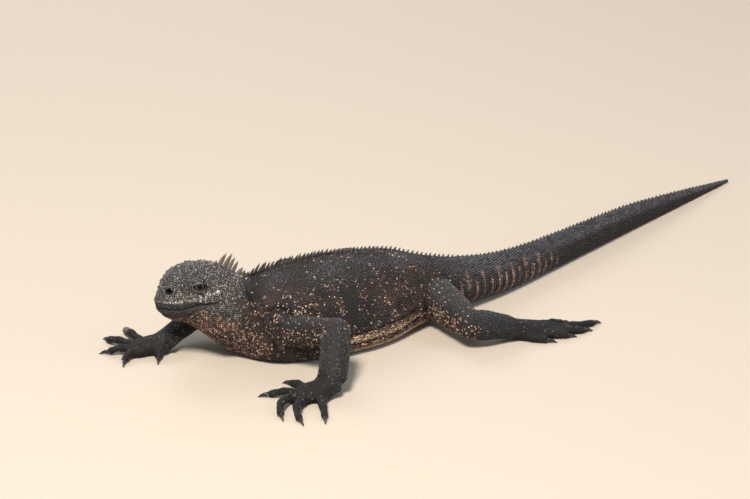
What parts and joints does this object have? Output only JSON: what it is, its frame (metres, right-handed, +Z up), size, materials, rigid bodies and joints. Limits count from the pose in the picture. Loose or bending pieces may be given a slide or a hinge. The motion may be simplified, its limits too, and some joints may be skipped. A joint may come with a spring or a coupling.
{
  "type": "marine iguana, life-size still model",
  "caption": "Life-size marine iguana crawling low over flat ground, belly and feet down, head turned aside, long tail laid out behind.",
  "frame": {"origin": "the flat of the belly on the ground, on the midline half way between the shoulders and the hips", "axes": "+X from head to tail, +Z up, the animal's left side at -Y"},
  "size_m": [0.7161, 0.3167, 0.0959],
  "materials": {
    "body_skin": "dark scaly skin with small pale and rust-coloured scales, dull",
    "limb_skin": "dark grey skin of small even granules, dull",
    "claw_horn": "dark brown horn, satin",
    "eye": "dark wet eye, glossy"
  },
  "bodies": {
    "root": {"head": "body_skin", "neck": "body_skin", "chest": "body_skin", "belly": "body_skin", "tail_root": "body_skin", "tail_middle": "body_skin", "tail_rear": "body_skin", "tail_tip": "body_skin", "upper_arm_left": "limb_skin", "forearm_left": "limb_skin", "hand_left": "limb_skin", "upper_arm_right": "limb_skin", "forearm_right": "limb_skin", "hand_right": "limb_skin", "thigh_left": "limb_skin", "shank_left": "limb_skin", "foot_left": "limb_skin", "thigh_right": "limb_skin", "shank_right": "limb_skin", "foot_right": "limb_skin", "claw_hand_left_1": "claw_horn", "claw_hand_left_2": "claw_horn", "claw_hand_left_3": "claw_horn", "claw_hand_left_4": "claw_horn", "claw_hand_left_5": "claw_horn", "claw_hand_right_1": "claw_horn", "claw_hand_right_2": "claw_horn", "claw_hand_right_3": "claw_horn", "claw_hand_right_4": "claw_horn", "claw_hand_right_5": "claw_horn", "claw_foot_left_1": "claw_horn", "claw_foot_left_2": "claw_horn", "claw_foot_left_3": "claw_horn", "claw_foot_left_4": "claw_horn", "claw_foot_left_5": "claw_horn", "claw_foot_right_1": "claw_horn", "claw_foot_right_2": "claw_horn", "claw_foot_right_3": "claw_horn", "claw_foot_right_4": "claw_horn", "claw_foot_right_5": "claw_horn", "eye_left": "eye", "eye_right": "eye"}
  },
  "joints": []
}
